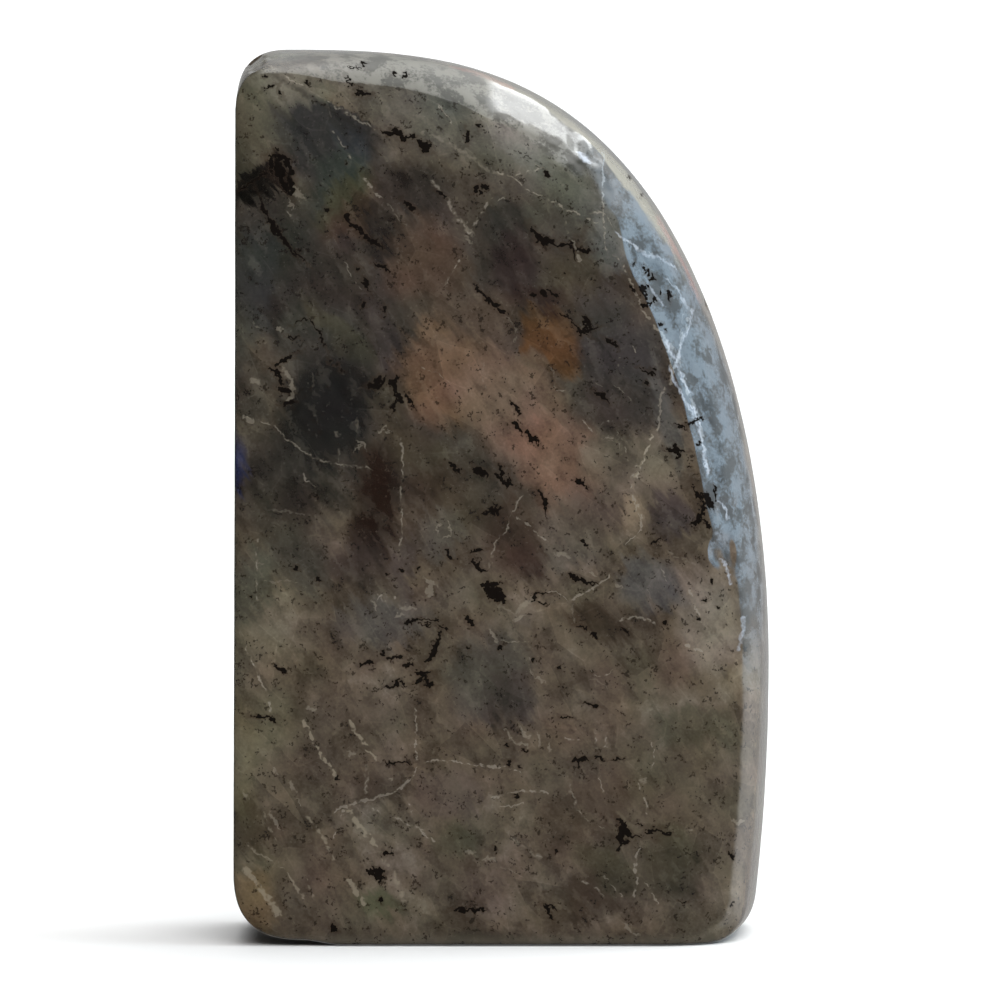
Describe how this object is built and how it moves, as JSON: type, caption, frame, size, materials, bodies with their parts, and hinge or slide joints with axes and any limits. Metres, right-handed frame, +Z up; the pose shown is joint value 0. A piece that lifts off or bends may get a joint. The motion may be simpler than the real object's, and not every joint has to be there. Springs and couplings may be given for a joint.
{
  "type": "labradorite freeform",
  "caption": "Polished free-standing slab of labradorite with a flat front, a sawn base, a bevelled curved edge over the top and right side, and a low domed back.",
  "frame": {"origin": "middle of the bottom of the stone's bounding box, on the flat sawn base", "axes": "+Z up the height of the stone, -Y out of the flat front face, +X towards the curved edge as seen from the front"},
  "size_m": [0.091, 0.0416, 0.1503],
  "materials": {
    "polished_labradorite": "polished grey-brown feldspar with black inclusions, pale cleavage cracks and a dull blue and copper schiller"
  },
  "bodies": {
    "root": {"labradorite_stone": "polished_labradorite"}
  },
  "joints": []
}
